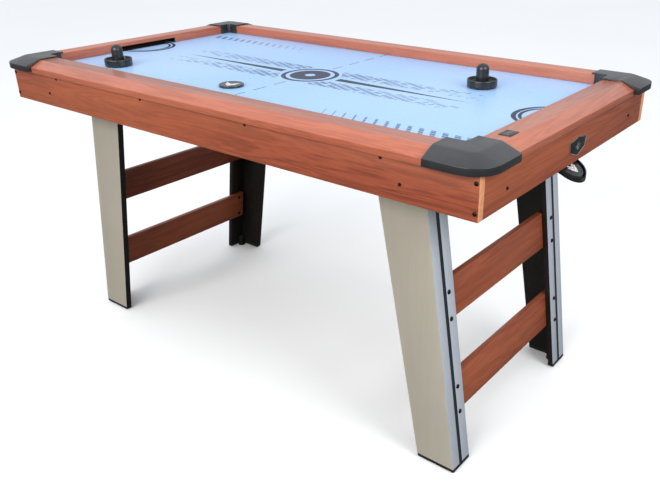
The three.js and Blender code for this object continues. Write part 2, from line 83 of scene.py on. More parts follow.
def addNode(tree, kind, inputs=None, **settings):
    node = tree.nodes.new("ShaderNode" + kind)
    for key, value in settings.items():
        setattr(node, key, value)
    for key, value in (inputs or {}).items():
        fill(tree, node.inputs[key], value)
    return node


def calc(tree, operation, *values):
    node = addNode(tree, "Math", operation=operation)
    for socket, value in zip(node.inputs, values):
        fill(tree, socket, value)
    return node.outputs[0]


def product(tree, *values):
    result = values[0]
    for value in values[1:]:
        result = calc(tree, "MULTIPLY", result, value)
    return result


def largest(tree, *values):
    result = values[0]
    for value in values[1:]:
        result = calc(tree, "MAXIMUM", result, value)
    return result


def between(tree, value, low, high):  # 1 where low < value < high
    return product(tree, calc(tree, "GREATER_THAN", value, low), calc(tree, "LESS_THAN", value, high))


def remap(tree, value, fromLow, fromHigh, toLow=0.0, toHigh=1.0):
    node = addNode(tree, "MapRange", {0: value, 1: fromLow, 2: fromHigh, 3: toLow, 4: toHigh})
    return node.outputs[0]


def mixTones(tree, factor, first, second):
    node = addNode(tree, "Mix", data_type="RGBA")
    for index, value in ((0, factor), (6, first), (7, second)):
        fill(tree, node.inputs[index], value)
    return node.outputs[2]


def objectPlace(tree, scale=(1, 1, 1)):
    place = addNode(tree, "TexCoord").outputs["Object"]
    return addNode(tree, "Mapping", {"Vector": place, "Scale": scale}).outputs[0]


def noise(tree, place, scale, detail, rough=0.5, distortion=0.0):
    return addNode(tree, "TexNoise", {"Vector": place, "Scale": scale, "Detail": detail,
                                      "Roughness": rough, "Distortion": distortion}).outputs["Fac"]


def startGroup(name, inputs, outputs):
    group = bpy.data.node_groups.new(name, "ShaderNodeTree")
    for label, kind, value in inputs:
        socket = group.interface.new_socket(label, in_out="INPUT", socket_type="NodeSocket" + kind)
        if value is not None:
            socket.default_value = value
    for label in outputs:
        group.interface.new_socket(label, in_out="OUTPUT", socket_type="NodeSocketFloat")
    return group, group.nodes.new("NodeGroupInput").outputs, group.nodes.new("NodeGroupOutput").inputs


def useGroup(tree, group, values):
    node = tree.nodes.new("ShaderNodeGroup")
    node.node_tree = group
    for key, value in values.items():
        fill(tree, node.inputs[key], value)
    return node.outputs


# Printed cherry figure, from a place already stretched along the grain: slow drift in tone,
# flat-sawn contour bands, and short dark pores.
def buildGrainGroup():
    group, given, out = startGroup("cherryGrain", (("Place", "Vector", None), ("Bands", "Float", 9.0),
                                                   ("Pore Size", "Float", 160.0)),
                                   ("Drift", "Figure", "Pores"))
    drift = noise(group, given["Place"], 1.7, 2.0)
    field = noise(group, given["Place"], 3.1, 4.0, 0.55, 0.7)
    wave = calc(group, "SINE", product(group, field, given["Bands"], math.tau))
    fine = noise(group, given["Place"], product(group, given["Pore Size"], 0.22), 3.0, 0.7)
    pores = noise(group, given["Place"], given["Pore Size"], 2.0, 0.6)
    fill(group, out["Drift"], remap(group, drift, 0.3, 0.7))
    contours = remap(group, wave, -1.0, 1.0, 0.0, 0.55)
    figure = calc(group, "ADD", contours, remap(group, fine, 0.3, 0.7, 0.0, 0.45))
    fill(group, out["Figure"], figure)
    fill(group, out["Pores"], remap(group, pores, 0.62, 0.74))
    return group


# Moulded-plastic grain: a fine leathery height and a slow change in gloss.
def buildGrainedPlasticGroup():
    group, given, out = startGroup("mouldedGrain", (("Place", "Vector", None), ("Size", "Float", 900.0)),
                                   ("Height", "Gloss Drift", "Dust"))
    cells = addNode(group, "TexVoronoi", {"Vector": given["Place"], "Scale": given["Size"]})
    soft = noise(group, given["Place"], product(group, given["Size"], 0.5), 2.0)
    fill(group, out["Height"], calc(group, "ADD", cells.outputs["Distance"], soft))
    fill(group, out["Gloss Drift"], noise(group, given["Place"], 14.0, 3.0))
    fill(group, out["Dust"], remap(group, noise(group, given["Place"], 60.0, 4.0, 0.7), 0.5, 0.85))
    return group


# A mask along a piece's sharp edges, broken up by a little noise: painted highlight where the edges catch the
# light.
def buildEdgeHighlightGroup():
    group, given, out = startGroup("edgeHighlight", (("Place", "Vector", None), ("Reach", "Float", 0.0012)),
                                   ("Mask",))
    rounded = addNode(group, "Bevel", {"Radius": given["Reach"]}, samples=4).outputs[0]
    plain = addNode(group, "NewGeometry").outputs["Normal"]
    agree = addNode(group, "VectorMath", {0: rounded, 1: plain}, operation="DOT_PRODUCT").outputs["Value"]
    patchy = remap(group, noise(group, given["Place"], 35.0, 3.0), 0.35, 0.7, 0.25, 1.0)
    fill(group, out["Mask"], product(group, remap(group, agree, 0.99, 0.86), patchy))
    return group


cherryGrain = buildGrainGroup()
mouldedGrain = buildGrainedPlasticGroup()
edgeHighlight = buildEdgeHighlightGroup()


def startMaterial(name, **constants):
    material = bpy.data.materials.new(name)
    material.use_nodes = True
    tree = material.node_tree
    shader = tree.nodes["Principled BSDF"]
    for key, value in constants.items():
        shader.inputs[key.replace("_", " ")].default_value = value
    return material, tree, shader


def setBump(tree, shader, height, strength, depth):
    bump = addNode(tree, "Bump", {"Height": height, "Strength": strength, "Distance": depth})
    tree.links.new(bump.outputs[0], shader.inputs["Normal"])


# Wood and boards
grainStretch = {"x": (0.6, 8.5, 8.5), "y": (8.5, 0.6, 8.5)}  # the figure runs long along one axis


def cherryBoard(name, along, dark, base, light, gloss):
    material, tree, shader = startMaterial(name, Coat_Weight=gloss["coat"], Coat_Roughness=gloss["coatRough"])
    place = objectPlace(tree, grainStretch[along])
    grain = useGroup(tree, cherryGrain, {"Place": place, "Bands": 7.0, "Pore Size": 130.0})
    edge = useGroup(tree, edgeHighlight, {"Place": objectPlace(tree)})
    color = mixTones(tree, grain["Figure"], tone(dark), tone(base))
    color = mixTones(tree, product(tree, grain["Drift"], 0.55), color, tone(light))
    color = mixTones(tree, product(tree, grain["Pores"], 0.6), color, tone(dark))
    # Sharp edges painted lighter as a highlight.
    color = mixTones(tree, product(tree, edge["Mask"], 0.3), color, tone(light))
    fill(tree, shader.inputs["Base Color"], color)
    rough = gloss["rough"]
    fill(tree, shader.inputs["Roughness"], remap(tree, grain["Figure"], 0.0, 1.0, rough + 0.07, rough))
    setBump(tree, shader, calc(tree, "SUBTRACT", grain["Figure"], grain["Pores"]), 0.12, 0.0002)
    return material


def edgeBanding(name, base, light):  # thin printed strip ironed on a board's sawn edge
    material, tree, shader = startMaterial(name)
    streak = noise(tree, objectPlace(tree, (5, 5, 5)), 22.0, 4.0, 0.6)
    color = mixTones(tree, remap(tree, streak, 0.3, 0.7), tone(base), tone(light))
    fill(tree, shader.inputs["Base Color"], color)
    fill(tree, shader.inputs["Roughness"], remap(tree, streak, 0.2, 0.8, 0.42, 0.52))
    setBump(tree, shader, streak, 0.1, 0.0002)
    return material


def chipBoard(name, dark, light):  # raw fibreboard of the unseen sides
    material, tree, shader = startMaterial(name)
    place = objectPlace(tree)
    chips = addNode(tree, "TexVoronoi", {"Vector": place, "Scale": 260.0}).outputs["Color"]
    chipTone = addNode(tree, "SeparateColor", {0: chips}).outputs[0]
    cloud = noise(tree, place, 8.0, 4.0)
    color = mixTones(tree, chipTone, tone(dark), tone(light))
    color = mixTones(tree, remap(tree, cloud, 0.3, 0.75, 0.0, 0.5), color, tone(dark))
    fill(tree, shader.inputs["Base Color"], color)
    fill(tree, shader.inputs["Roughness"], remap(tree, chipTone, 0.0, 1.0, 0.75, 0.9))
    setBump(tree, shader, chipTone, 0.25, 0.0003)
    return material


# Laminates of the legs
# Near white painted along the leg edges as a highlight.
edgeHighlightTone = "f2f2f0"


def legFoil(name, base, light, rough, metal, streakScale):
    material, tree, shader = startMaterial(name, Metallic=metal)
    streak = noise(tree, objectPlace(tree, (60, 60, 1.5)), streakScale, 3.0, 0.6)
    cloud = noise(tree, objectPlace(tree), 6.0, 3.0)
    edge = useGroup(tree, edgeHighlight, {"Place": objectPlace(tree)})
    amount = calc(tree, "ADD", product(tree, streak, 0.5), product(tree, cloud, 0.5))
    color = mixTones(tree, remap(tree, amount, 0.35, 0.65), tone(base), tone(light))
    # Sharp edges painted near white as a highlight.
    color = mixTones(tree, product(tree, edge["Mask"], 0.35), color, tone(edgeHighlightTone))
    fill(tree, shader.inputs["Base Color"], color)
    fill(tree, shader.inputs["Roughness"], remap(tree, streak, 0.3, 0.7, rough, rough + 0.1))
    setBump(tree, shader, streak, 0.06, 0.0002)
    return material


def blackFoil(name, base, dusty):
    material, tree, shader = startMaterial(name)
    grain = useGroup(tree, mouldedGrain, {"Place": objectPlace(tree), "Size": 700.0})
    fill(tree, shader.inputs["Base Color"], mixTones(tree, grain["Dust"], tone(base), tone(dusty)))
    fill(tree, shader.inputs["Roughness"], remap(tree, grain["Gloss Drift"], 0.3, 0.7, 0.42, 0.56))
    setBump(tree, shader, grain["Height"], 0.12, 0.0002)
    return material


# Plastics
def mouldedPlastic(name, base, dusty, rough, size=900.0, bump=0.15, coat=0.0, highlightShare=0.4):
    material, tree, shader = startMaterial(name, Coat_Weight=coat, Coat_Roughness=0.25)
    place = objectPlace(tree)
    grain = useGroup(tree, mouldedGrain, {"Place": place, "Size": size})
    edge = useGroup(tree, edgeHighlight, {"Place": place, "Reach": 0.001})
    color = mixTones(tree, product(tree, grain["Dust"], 0.5), tone(base), tone(dusty))
    # Sharp edges painted lighter as a highlight.
    color = mixTones(tree, product(tree, edge["Mask"], highlightShare), color, tone(dusty))
    fill(tree, shader.inputs["Base Color"], color)
    gloss = remap(tree, grain["Gloss Drift"], 0.3, 0.7, rough - 0.06, rough + 0.06)
    fill(tree, shader.inputs["Roughness"], gloss)
    setBump(tree, shader, grain["Height"], bump, 0.0002)
    return material


def feltPad(name, dark, light):
    material, tree, shader = startMaterial(name, Sheen_Weight=0.4, Sheen_Roughness=0.5)
    fibre = noise(tree, objectPlace(tree), 1400.0, 4.0, 0.7, 1.5)
    fill(tree, shader.inputs["Base Color"], mixTones(tree, fibre, tone(dark), tone(light)))
    fill(tree, shader.inputs["Roughness"], remap(tree, fibre, 0.2, 0.8, 0.88, 0.98))
    setBump(tree, shader, fibre, 0.6, 0.0003)
    return material


# Metals
def plainMetal(name, base, light, rough, metal=1.0):
    material, tree, shader = startMaterial(name, Metallic=metal)
    scratch = noise(tree, objectPlace(tree, (1, 40, 40)), 90.0, 3.0, 0.6)
    cloud = noise(tree, objectPlace(tree), 40.0, 3.0)
    color = mixTones(tree, remap(tree, cloud, 0.3, 0.7), tone(base), tone(light))
    fill(tree, shader.inputs["Base Color"], color)
    fill(tree, shader.inputs["Roughness"], remap(tree, scratch, 0.25, 0.75, rough, rough + 0.14))
    setBump(tree, shader, scratch, 0.05, 0.0001)
    return material


# The field's print in mm. It turns onto itself in half a turn, so it is drawn once for x > 0.
# A pair gives a value at the two ends of a fade. The hole tone is painted shade inside the air holes.
fieldPrint = {
    "ground": "9ec3ee", "groundFar": "abcaf0", "ink": "0b1c3a", "inkSoft": "33486c", "hole": "6f8ab0",
    "disc": 55, "bull": 14, "ringInner": 66, "ringOuter": 78,
    "barStart": 96, "barLength": 410, "barHalf": 12.5,
    "bandMiddle": 56, "bandHalf": 25, "bandStart": 58, "bandEnd": 500, "strokePitch": 16,
    "strokeShare": (0.62, 0.26), "dropped": (0.04, 0.45), "rowLength": 13, "rowShift": 0.37,
    "rowShare": 0.74, "ringClear": 8,
    "goalX": 700, "arcs": ((88, 83, 7), (73, 70, 6)),
    "dashStart": 94, "dashPitch": 72, "dashShare": 0.62, "dashHalf": 1.6,
    "tickStart": 260, "tickPitch": 28.5, "tickCount": 14, "tickLow": -274, "tickHigh": -237,
    "tickLean": 0.5, "tickShare": (0.08, 0.6), "tickBand": 12, "bandInk": (0.45, 0.85),
    "holePitch": 25.4, "holeRadius": 0.75, "holeDepth": 0.6,
}


def fieldLaminate(name):
    p = fieldPrint
    material, tree, shader = startMaterial(name, Coat_Weight=0.05, Coat_Roughness=0.12,
                                           Specular_IOR_Level=0.22)
    place = objectPlace(tree, (1 / mm, 1 / mm, 1 / mm))
    split = addNode(tree, "SeparateXYZ", {0: place}).outputs
    way = calc(tree, "SIGN", split["X"])
    x = calc(tree, "ABSOLUTE", split["X"])
    y = product(tree, split["Y"], way)
    height = calc(tree, "ABSOLUTE", y)

    def distanceTo(centreX):
        shifted = calc(tree, "SUBTRACT", x, centreX)
        return calc(tree, "SQRT", calc(tree, "ADD", product(tree, shifted, shifted), product(tree, y, y)))

    # The round emblem in the middle, and a bar on each side of it that narrows away.
    middle = distanceTo(0.0)
    emblem = largest(tree, between(tree, middle, p["bull"], p["disc"]),
                     between(tree, middle, p["ringInner"], p["ringOuter"]))
    along = calc(tree, "DIVIDE", calc(tree, "SUBTRACT", x, p["barStart"]), p["barLength"])
    taper = product(tree, calc(tree, "SUBTRACT", 1.0, along), p["barHalf"])
    bar = product(tree, calc(tree, "GREATER_THAN", along, 0.0), calc(tree, "LESS_THAN", height, taper))

    # Broken slanting strokes in two bands beside the bar, thinner and sparser along it.
    fade = remap(tree, x, p["bandStart"], p["bandEnd"])
    strokes = calc(tree, "DIVIDE", calc(tree, "SUBTRACT", x, y), p["strokePitch"])
    strokeShare = remap(tree, fade, 0.0, 1.0, *p["strokeShare"])
    inStroke = calc(tree, "LESS_THAN", calc(tree, "FRACT", strokes), strokeShare)
    shift = product(tree, calc(tree, "FLOOR", strokes), p["rowShift"])
    rows = calc(tree, "ADD", calc(tree, "DIVIDE", y, p["rowLength"]), shift)
    apart = calc(tree, "LESS_THAN", calc(tree, "FRACT", rows), p["rowShare"])
    cell = addNode(tree, "CombineXYZ", {0: calc(tree, "FLOOR", strokes), 1: calc(tree, "FLOOR", rows)})
    chance = addNode(tree, "TexWhiteNoise", {"Vector": cell.outputs[0]}, noise_dimensions="2D")
    kept = calc(tree, "GREATER_THAN", chance.outputs["Value"], remap(tree, fade, 0.0, 1.0, *p["dropped"]))
    offset = calc(tree, "ABSOLUTE", calc(tree, "SUBTRACT", height, p["bandMiddle"]))
    inBand = product(tree, calc(tree, "LESS_THAN", offset, p["bandHalf"]),
                     between(tree, x, p["bandStart"], p["bandEnd"]))
    clear = calc(tree, "GREATER_THAN", middle, p["ringOuter"] + p["ringClear"])
    hatch = product(tree, inBand, inStroke, kept, apart, clear)

    # Crescents in front of each goal: a circle less a smaller one that is moved towards the goal.
    arcs = 0.0
    for outer, inner, shiftX in p["arcs"]:
        arc = product(tree, calc(tree, "LESS_THAN", distanceTo(p["goalX"]), outer),
                      calc(tree, "GREATER_THAN", distanceTo(p["goalX"] + shiftX), inner))
        arcs = largest(tree, arcs, arc)

    # The dashed line across the middle.
    dashes = calc(tree, "DIVIDE", calc(tree, "SUBTRACT", height, p["dashStart"]), p["dashPitch"])
    inDash = calc(tree, "LESS_THAN", calc(tree, "FRACT", dashes), p["dashShare"])
    line = product(tree, inDash, calc(tree, "LESS_THAN", x, p["dashHalf"]),
                   calc(tree, "GREATER_THAN", height, p["dashStart"]))

    # Leaning ticks along one long side, wider towards the corner, in bands of two tones.
    lean = product(tree, calc(tree, "SUBTRACT", p["tickHigh"], y), p["tickLean"])
    fromStart = calc(tree, "SUBTRACT", calc(tree, "SUBTRACT", x, lean), p["tickStart"])
    ticks = calc(tree, "DIVIDE", fromStart, p["tickPitch"])
    tickShare = remap(tree, calc(tree, "FLOOR", ticks), 0.0, p["tickCount"], *p["tickShare"])
    banded = calc(tree, "LESS_THAN", calc(tree, "FRACT", calc(tree, "DIVIDE", y, p["tickBand"])), 0.5)
    bandInk = remap(tree, banded, 0.0, 1.0, *p["bandInk"])
    tickMask = product(tree, calc(tree, "LESS_THAN", calc(tree, "FRACT", ticks), tickShare), bandInk,
                       between(tree, ticks, 0.0, p["tickCount"]),
                       between(tree, y, p["tickLow"], p["tickHigh"]))

    # Air holes on a square grid, painted a darker blue as the shade inside them.
    def fromGrid(value):
        return calc(tree, "SUBTRACT", calc(tree, "MODULO", calc(tree, "ABSOLUTE", value), p["holePitch"]),
                    p["holePitch"] / 2)

    gridX = fromGrid(split["X"])
    gridY = fromGrid(split["Y"])
    toHole = calc(tree, "SQRT", calc(tree, "ADD", product(tree, gridX, gridX), product(tree, gridY, gridY)))
    hole = calc(tree, "LESS_THAN", toHole, p["holeRadius"])

    cloud = noise(tree, objectPlace(tree), 1.8, 2.0)
    color = mixTones(tree, remap(tree, cloud, 0.35, 0.65), tone(p["ground"]), tone(p["groundFar"]))
    hatchTone = mixTones(tree, fade, tone(p["ink"]), tone(p["inkSoft"]))
    color = mixTones(tree, largest(tree, hatch, line), color, hatchTone)
    color = mixTones(tree, tickMask, color, tone(p["inkSoft"]))
    color = mixTones(tree, largest(tree, emblem, bar, arcs), color, tone(p["ink"]))
    # Holes painted darker as shade.
    color = mixTones(tree, hole, color, tone(p["hole"]))
    fill(tree, shader.inputs["Base Color"], color)
    scuff = noise(tree, objectPlace(tree, (3, 12, 1)), 9.0, 5.0, 0.7)
    fill(tree, shader.inputs["Roughness"], remap(tree, scuff, 0.3, 0.7, 0.26, 0.36))
    setBump(tree, shader, calc(tree, "SUBTRACT", 1.0, hole), 0.5, p["holeDepth"] * mm)
    return material


satin = {"rough": 0.42, "coat": 0.15, "coatRough": 0.3}
semiGloss = {"rough": 0.34, "coat": 0.55, "coatRough": 0.2}
cherryX = cherryBoard("cherryAlongTable", "x", "743320", "a45236", "b96a45", satin)
cherryY = cherryBoard("cherryAcrossTable", "y", "743320", "a45236", "b96a45", satin)
railX = cherryBoard("railCherryAlongTable", "x", "964a30", "b36146", "c2775a", semiGloss)
railY = cherryBoard("railCherryAcrossTable", "y", "964a30", "b36146", "c2775a", semiGloss)
banding = edgeBanding("cherryEdgeBanding", "dd9267", "f0ad80")
rawBoard = chipBoard("rawFibreboard", "a98a5f", "cdb58a")
# Near-black fibreboard as painted shade, for the end aprons' inner faces.
paintedShadeBoard = chipBoard("paintedShadeFibreboard", "2a1410", "472319")
legBeige = legFoil("legBeigeFoil", "a8a193", "aea799", rough=0.42, metal=0.05, streakScale=4.0)
legSilver = legFoil("legSilverFoil", "bcc4d0", "c9d0da", rough=0.34, metal=0.2, streakScale=6.0)
legBlack = blackFoil("legBlackFoil", "15120f", "2b211d")
grooveBlack = mouldedPlastic("grooveStrip", "1c232b", "3a4149", 0.4, size=500.0, bump=0.08)
shoePlastic = mouldedPlastic("shoePlastic", "101011", "2b2b2c", 0.5)
capPlastic = mouldedPlastic("capPlastic", "1f2023", "33353a", 0.4, size=1100.0, bump=0.2, coat=0.4,
                            highlightShare=0.3)
cupPlastic = mouldedPlastic("cupPlastic", "0f1011", "292b2d", 0.38)
pusherPlastic = mouldedPlastic("pusherPlastic", "17181b", "3c3f45", 0.32, size=1500.0, bump=0.1,
                               coat=0.2)
puckPlastic = mouldedPlastic("puckPlastic", "23252b", "42454d", 0.26, size=1500.0, bump=0.06,
                             coat=0.3)
puckWhite = mouldedPlastic("puckWhitePrint", "e6e6e4", "cfd0d0", 0.35, bump=0.04, coat=0.2, highlightShare=0.1)
powerPlastic = mouldedPlastic("powerPlastic", "141415", "303032", 0.42)
fanPlastic = mouldedPlastic("fanPlastic", "1f2123", "3b3d40", 0.45)
felt = feltPad("padFelt", "16181c", "3a3e46")
steel = plainMetal("zincSteel", "9da1a6", "c1c4c8", 0.28)
blackSteel = plainMetal("blackScrewSteel", "0d0d0e", "1c1c1e", 0.34, metal=0.6)
badgeGround = mouldedPlastic("badgeGround", "101314", "1f2424", 0.35, size=400.0, bump=0.03, coat=0.2,
                             highlightShare=0.1)
badgeSilver = plainMetal("badgeSilver", "8d9492", "a9afad", 0.4, metal=0.7)
fieldPrinted = fieldLaminate("fieldLaminate")
print("materials made,", len(bpy.data.materials))


# Mesh helpers
def placePiece(name, mesh, materials, body, stands=(), sharp=35):
    mesh.name = name
    mesh.polygons.foreach_set("use_smooth", [True] * len(mesh.polygons))
    mesh.set_sharp_from_angle(angle=math.radians(sharp))
    for material in materials:
        mesh.materials.append(material)
    piece = bpy.data.objects.new(name, mesh)
    bpy.context.scene.collection.objects.link(piece)
    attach(piece, body)
    if stands:
        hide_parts(*stands)


def toMesh(bm):
    mesh = bpy.data.meshes.new("part")
    bm.to_mesh(mesh)
    bm.free()
    return mesh


def joinTo(whole, bm):  # add one shape to another and let go of it
    mesh = toMesh(bm)
    whole.from_mesh(mesh)
    bpy.data.meshes.remove(mesh)


def sharpEdges(bm, angle):
    return [e for e in bm.edges if e.is_manifold and e.calc_face_angle() > math.radians(angle)]


def softenEdges(bm, edges, width, segments):
    bmesh.ops.bevel(bm, geom=edges, offset=width, segments=segments, profile=0.5, affect="EDGES",
                    clamp_overlap=True, material=-1)


def box(bm, low, high, soften=0.0):
    made = bmesh.ops.create_cube(bm, size=1.0)["verts"]
    low, high = Vector(low), Vector(high)
    bmesh.ops.scale(bm, vec=high - low, verts=made)
    bmesh.ops.translate(bm, vec=(high + low) / 2, verts=made)
    if soften:
        edges = list({e for v in made for e in v.link_edges})
        softenEdges(bm, edges, soften, 2)


# A turned shape about +Z, from (radius, height) points in mm that start and end on the axis.
def turned(profile, segments):
    bm = bmesh.new()
    points = [bm.verts.new((r * mm, 0, z * mm)) for r, z in profile]
    wire = [bm.edges.new(pair) for pair in zip(points, points[1:])]
    bmesh.ops.spin(bm, geom=points + wire, cent=(0, 0, 0), axis=(0, 0, 1), angle=math.tau,
                   steps=segments, use_merge=True)
    bmesh.ops.remove_doubles(bm, verts=bm.verts, dist=1e-6)
    bmesh.ops.recalc_face_normals(bm, faces=bm.faces)
    return bm


# A flat outline in mm pulled up to a plate, with a softened upper rim.
def plate(outline, thickness, soften):
    bm = bmesh.new()
    face = bm.faces.new([bm.verts.new((x * mm, y * mm, 0)) for x, y in outline])
    raised = bmesh.ops.extrude_face_region(bm, geom=[face])["geom"]
    upper = [part for part in raised if isinstance(part, bmesh.types.BMVert)]
    bmesh.ops.translate(bm, vec=(0, 0, thickness * mm), verts=upper)
    bmesh.ops.recalc_face_normals(bm, faces=bm.faces)
    if soften:
        rim = [e for e in bm.edges if all(v.co.z > thickness * mm * 0.99 for v in e.verts)]
        softenEdges(bm, rim, soften * mm, 2)
    return bm


# A CAD solid with its edges eased. `pick` gives each face the index of its material.
def easedCopy(node, width, materials, pick=None, segments=3, angle=28, crease=0.0):
    bm = bmesh.new()
    bm.from_mesh(frame["nodes"][node].data)
    bmesh.ops.remove_doubles(bm, verts=bm.verts, dist=1e-5)
    bmesh.ops.dissolve_limit(bm, angle_limit=math.radians(1), verts=bm.verts, edges=bm.edges)
    if pick:
        for face in bm.faces:
            face.material_index = pick(face.normal, face.calc_center_median())
    if crease:  # shallow folds become wide curves first
        folds = [e for e in sharpEdges(bm, 12) if e.calc_face_angle() < math.radians(angle)]
        softenEdges(bm, folds, crease * mm, 6)
    softenEdges(bm, sharpEdges(bm, angle), width * mm, segments)
    body = frame["nodes"][node]["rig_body"]
    placePiece(node + "_eased", toMesh(bm), materials, body, (node,))


# Cabinet boards: cherry outside, raw board inside, banding on the sawn ends. The end aprons' inner faces are
# painted dark as shade instead.
def buildAprons():
    for name, sign in sides:
        def pick(normal, centre, outward=sign):
            if abs(normal.x) > 0.5:
                return 1
            return 2 if normal.y * outward < -0.5 else 0
        easedCopy(f"apron_{name}", 0.7, (cherryX, banding, rawBoard), pick=pick)
    for name, sign in ends:
        def pick(normal, centre, outward=sign):
            # The inner face takes the dark board: painted shade.
            return 1 if normal.x * outward < -0.5 else 0
        easedCopy(f"apron_{name}", 0.5, (cherryY, paintedShadeBoard), pick=pick)


# Black sheet lining a goal slot, painted shade for its dark inside: its roof, sides and back, open to the
# field.
goalShadeLiner = {"wall": 0.9, "half": 104.8, "roof": 807.8, "base": 793.5, "mouth": 691.8, "back": 742.0}


def buildGoalShadeLiners():
    g = goalShadeLiner
    for end, sign in ends:
        bm = bmesh.new()
        under, deep = g["roof"] - g["wall"], g["back"] - g["wall"]
        parts = (((g["mouth"], -g["half"], under), (g["back"], g["half"], g["roof"])),
                 ((deep, -g["half"], g["base"]), (g["back"], g["half"], under)),
                 ((g["mouth"], -g["half"], g["base"]), (deep, g["wall"] - g["half"], under)),
                 ((g["mouth"], g["half"] - g["wall"], g["base"]), (deep, g["half"], under)))
        for low, high in parts:
            box(bm, [c * mm for c in low], [c * mm for c in high], 0.2 * mm)
        if sign < 0:
            bmesh.ops.rotate(bm, cent=(0, 0, 0), matrix=Matrix.Rotation(math.pi, 3, "Z"), verts=bm.verts)
        # The black sheet is painted shade inside the slot.
        placePiece(f"goal_shade_liner_{end}", toMesh(bm), (cupPlastic,), "table")


def buildRails():
    for name, _ in sides:
        easedCopy(f"rail_{name}", 1.8, (railX,), angle=20)
    for name, _ in ends:
        easedCopy(f"rail_{name}", 1.8, (railY,), angle=20)


def buildCaps():
    for side, _ in sides:
        for end, _ in ends:
            easedCopy(f"corner_cap_{side}_{end}", 0.9, (capPlastic,), angle=34, crease=9.0)


def buildField():
    field = frame["nodes"]["playfield"]
    field.data.materials.clear()
    field.data.materials.append(fieldPrinted)
    for node in ("air_chamber_floor", "air_chamber_end_left", "air_chamber_end_right",
                 "leg_beam_left", "leg_beam_right"):
        easedCopy(node, 0.4, (rawBoard,), segments=2)


# Legs: an outer board and an end flange each, with a shoe, a block and a foot. Sizes in mm.
leg = {"outerFloor": 680.5, "outerApron": 577.5, "floor": 4, "apron": 704, "top": 744, "faceY": 306,
       "innerFloor": 579.1, "innerApron": 450.9, "groove": (29.3, 40.7), "grooveDepth": 1.9, "strip": 1.1,
       "low": 12.8, "foil": 0.35}


def buildLegs():
    for side, signY in sides:
        for end, signX in ends:
            name = f"{side}_{end}"

            def boardFace(normal, centre, outward=signY):
                return 0 if normal.y * outward > 0.5 else 1

            def flangeFace(normal, centre, outY=signY, outX=signX):
                if normal.x * outX > 0.5:
                    return 0
                return 1 if normal.y * outY > 0.5 and centre.y * outY > 0.3 else 2

            easedCopy(f"leg_board_{name}", 0.5, (legBeige, legBlack),
                      pick=boardFace, segments=2)
            easedCopy(f"leg_flange_{name}", 0.6, (legSilver, legBeige, legBlack),
                      pick=flangeFace, segments=2)
            easedCopy(f"leg_shoe_{name}", 0.8, (shoePlastic,), segments=2)
            easedCopy(f"leg_block_{name}", 0.8, (shoePlastic,), segments=2)
            buildGrooveStrip(name, signX, signY)
            buildLegFoil(name, signX, signY)
            buildFoot(name, signX, signY)


def legEdge(kind, z):  # where a leg's outer or inner edge is along X, at a height
    slope = (leg[kind + "Apron"] - leg[kind + "Floor"]) / (leg["apron"] - leg["floor"])
    return leg[kind + "Floor"] + slope * (z - leg["floor"])


# A tall thin strip that leans with the legs: x(z) gives its two sides, y its two faces.
def leaningStrip(name, x, y, signX, signY, material):
    bm = bmesh.new()
    for vert in bmesh.ops.create_cube(bm, size=1.0)["verts"]:
        z = leg["top"] if vert.co.z > 0 else leg["low"]
        vert.co = (signX * x(z)[vert.co.x > 0] * mm, signY * y[vert.co.y > 0] * mm, z * mm)
    bmesh.ops.recalc_face_normals(bm, faces=bm.faces)
    softenEdges(bm, [e for e in bm.edges if e.calc_length() > 0.5], 0.12 * mm, 2)
    placePiece(name, toMesh(bm), (material,), "table")


def buildGrooveStrip(name, signX, signY):
    def edgesAt(z):
        face = legEdge("outer", z) - leg["grooveDepth"]
        return face, face + leg["strip"]
    across = [leg["faceY"] - g for g in reversed(leg["groove"])]
    leaningStrip(f"groove_strip_{name}", edgesAt, across, signX, signY, grooveBlack)


def buildLegFoil(name, signX, signY):  # covers the joint between board and flange
    def edgesAt(z):
        return legEdge("inner", z) + 0.3, legEdge("outer", z) - 0.1
    faces = (leg["faceY"] - 0.1, leg["faceY"] + leg["foil"])
    leaningStrip(f"leg_foil_{name}", edgesAt, faces, signX, signY, legBeige)


foot = {"radius": 11.5, "height": 8, "stem": 4, "top": 28, "x": 652, "y": 275.5,
        "turns": 12, "pitch": 1.25, "rise": 0.62, "threadStart": 4.4, "threadDepth": 0.5}


def buildFoot(name, signX, signY):
    r, h, stem, top = (foot[key] for key in ("radius", "height", "stem", "top"))
    threads = []
    for turn in range(foot["turns"]):
        z = h + foot["threadStart"] + turn * foot["pitch"]
        threads += [(stem - 0.1, z), (stem - 0.1 - foot["threadDepth"], z + foot["rise"])]
    profile = [(0, 0), (r - 2.4, 0), (r - 0.7, 0.5), (r, 2.0), (r, h - 3.4), (r - 0.5, h - 2.6),
               (r - 1.8, h - 2), (7.4, h - 0.6), (6.8, h), (6.3, h + 0.2), (6.1, h + 3.2), (5.7, h + 3.9),
               (stem, h + 4), *threads, (stem - 0.8, top - 0.3), (stem - 1.6, top), (0, top)]
    bm = turned(profile, 36)
    bmesh.ops.translate(bm, vec=(signX * foot["x"] * mm, signY * foot["y"] * mm, 0), verts=bm.verts)
    placePiece(f"foot_pad_{name}", toMesh(bm), (shoePlastic,), f"foot_{name}",
               (f"leg_foot_{name}",), 40)


def buildStretchers():
    def pick(normal, centre):
        return 1 if abs(normal.y) > 0.5 else 0
    for end, _ in ends:
        for level in ("upper", "lower"):
            easedCopy(f"stretcher_{level}_{end}", 0.5, (cherryY, banding),
                      pick=pick, segments=2)


# Goal cups, power inlet and the blower under the field
def buildCups():
    for end, _ in ends:
        easedCopy(f"goal_cup_{end}", 0.8, (cupPlastic,), segments=2, angle=35)


def buildPower():
    easedCopy("power_plate", 0.5, (powerPlastic,), segments=2)
    easedCopy("power_switch", 0.5, (powerPlastic,), segments=2)
    easedCopy("power_jack", 0.3, (steel,), segments=2, angle=40)


